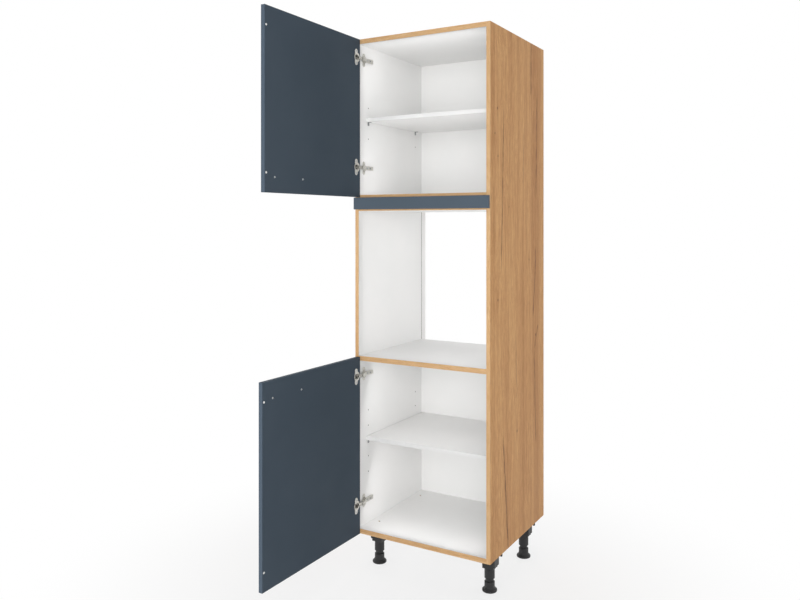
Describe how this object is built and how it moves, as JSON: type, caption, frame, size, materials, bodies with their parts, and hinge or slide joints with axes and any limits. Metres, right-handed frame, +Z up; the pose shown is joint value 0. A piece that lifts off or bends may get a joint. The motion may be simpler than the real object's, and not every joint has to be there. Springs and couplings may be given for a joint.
{
  "type": "tall oven housing unit",
  "caption": "Tall kitchen unit with an open oven niche between an upper and a lower cupboard, slate doors on concealed hinges, oak-grain sides and height-adjustable feet.",
  "frame": {"origin": "on the floor, under the middle of the carcass front", "axes": "+Z up, +X to the unit's right as seen by its user from the front, +Y from the front to the back"},
  "size_m": [0.6254, 1.1686, 2.166],
  "materials": {
    "oak_outside_white_inside": "matt oak-grain foil outside, white foil inside",
    "white_board": "satin white foil on board",
    "white_back": "matt white hardboard",
    "oak_band": "matt oak-grain band",
    "slate_front": "satin slate foil on board",
    "bumper_rubber": "soft white",
    "beech": "fluted bare beech",
    "black_plastic": "matt moulded",
    "handle_metal": "brushed nickel",
    "nickel_plate": "satin nickel plate",
    "support_grey": "grey plated steel",
    "zinc_plate": "bright zinc plate"
  },
  "bodies": {
    "carcass": {"left_side": "oak_outside_white_inside", "right_side": "oak_outside_white_inside", "top_panel": "white_board", "upper_floor": "white_board", "niche_top": "white_board", "niche_floor": "white_board", "bottom_panel": "white_board", "side_edging": "oak_band", "panel_edging": "oak_band", "upper_back": "white_back", "lower_back": "white_back", "upper_shelf": "white_board", "lower_shelf": "white_board", "upper_shelf_supports": "support_grey", "lower_shelf_supports": "support_grey", "fascia_strip": "slate_front", "fascia_brackets": "zinc_plate", "fascia_screws": "zinc_plate", "dowels": "beech", "cams": "zinc_plate", "cam_bolts": "zinc_plate", "back_screws": "zinc_plate", "foot_sockets": "black_plastic", "socket_screws": "zinc_plate", "hinge_plates": "nickel_plate", "plate_screws": "nickel_plate", "hinge_arms": "nickel_plate", "arm_screws": "zinc_plate", "arm_pins": "zinc_plate"},
    "upper_outer_links": {"upper_outer_links": "nickel_plate"},
    "upper_inner_links": {"upper_inner_links": "nickel_plate"},
    "upper_door": {"upper_door": "slate_front", "upper_cups": "nickel_plate", "upper_cup_pins": "zinc_plate", "upper_cup_screws": "zinc_plate", "upper_bumpers": "bumper_rubber", "upper_handle": "handle_metal", "upper_handle_screws": "zinc_plate"},
    "lower_outer_links": {"lower_outer_links": "nickel_plate"},
    "lower_inner_links": {"lower_inner_links": "nickel_plate"},
    "lower_door": {"lower_door": "slate_front", "lower_cups": "nickel_plate", "lower_cup_pins": "zinc_plate", "lower_cup_screws": "zinc_plate", "lower_bumpers": "bumper_rubber", "lower_handle": "handle_metal", "lower_handle_screws": "zinc_plate"},
    "front_left_foot": {"front_left_foot": "black_plastic"},
    "front_right_foot": {"front_right_foot": "black_plastic"},
    "rear_left_foot": {"rear_left_foot": "black_plastic"},
    "rear_right_foot": {"rear_right_foot": "black_plastic"}
  },
  "joints": [
    {"name": "upper_outer_links_swing", "type": "hinge", "parent": "carcass", "child": "upper_outer_links", "pos_m": [-0.26557, 0.00652, 1.843], "axis": [0, 0, 1], "range_deg": [-34.84, 1.22]},
    {"name": "upper_inner_links_swing", "type": "hinge", "parent": "carcass", "child": "upper_inner_links", "pos_m": [-0.26693, 0.01554, 1.843], "axis": [0, 0, 1], "range_deg": [-10.01, 0.42]},
    {"name": "upper_door_swing", "type": "hinge", "parent": "upper_outer_links", "child": "upper_door", "pos_m": [-0.27717, -0.01506, 1.843], "axis": [0, 0, 1], "range_deg": [-4, 124.24]},
    {"name": "lower_outer_links_swing", "type": "hinge", "parent": "carcass", "child": "lower_outer_links", "pos_m": [-0.26557, 0.00652, 0.511], "axis": [0, 0, 1], "range_deg": [-35.23, 0.94]},
    {"name": "lower_inner_links_swing", "type": "hinge", "parent": "carcass", "child": "lower_inner_links", "pos_m": [-0.26693, 0.01554, 0.511], "axis": [0, 0, 1], "range_deg": [-10.12, 0.34]},
    {"name": "lower_door_swing", "type": "hinge", "parent": "lower_outer_links", "child": "lower_door", "pos_m": [-0.27703, -0.01514, 0.511], "axis": [0, 0, 1], "range_deg": [-3, 125.63]},
    {"name": "front_left_foot_height", "type": "slide", "parent": "carcass", "child": "front_left_foot", "axis": [0, 0, -1], "range_m": [-0.009, 0.03]},
    {"name": "front_right_foot_height", "type": "slide", "parent": "carcass", "child": "front_right_foot", "axis": [0, 0, -1], "range_m": [-0.009, 0.03]},
    {"name": "rear_left_foot_height", "type": "slide", "parent": "carcass", "child": "rear_left_foot", "axis": [0, 0, -1], "range_m": [-0.009, 0.03]},
    {"name": "rear_right_foot_height", "type": "slide", "parent": "carcass", "child": "rear_right_foot", "axis": [0, 0, -1], "range_m": [-0.009, 0.03]}
  ],
  "couplings": [
    {"joint": "upper_outer_links_swing", "follows": "upper_door_swing", "ratio": -0.27963},
    {"joint": "upper_inner_links_swing", "follows": "upper_door_swing", "ratio": -0.079784},
    {"joint": "lower_outer_links_swing", "follows": "lower_door_swing", "ratio": -0.27963},
    {"joint": "lower_inner_links_swing", "follows": "lower_door_swing", "ratio": -0.079784}
  ]
}
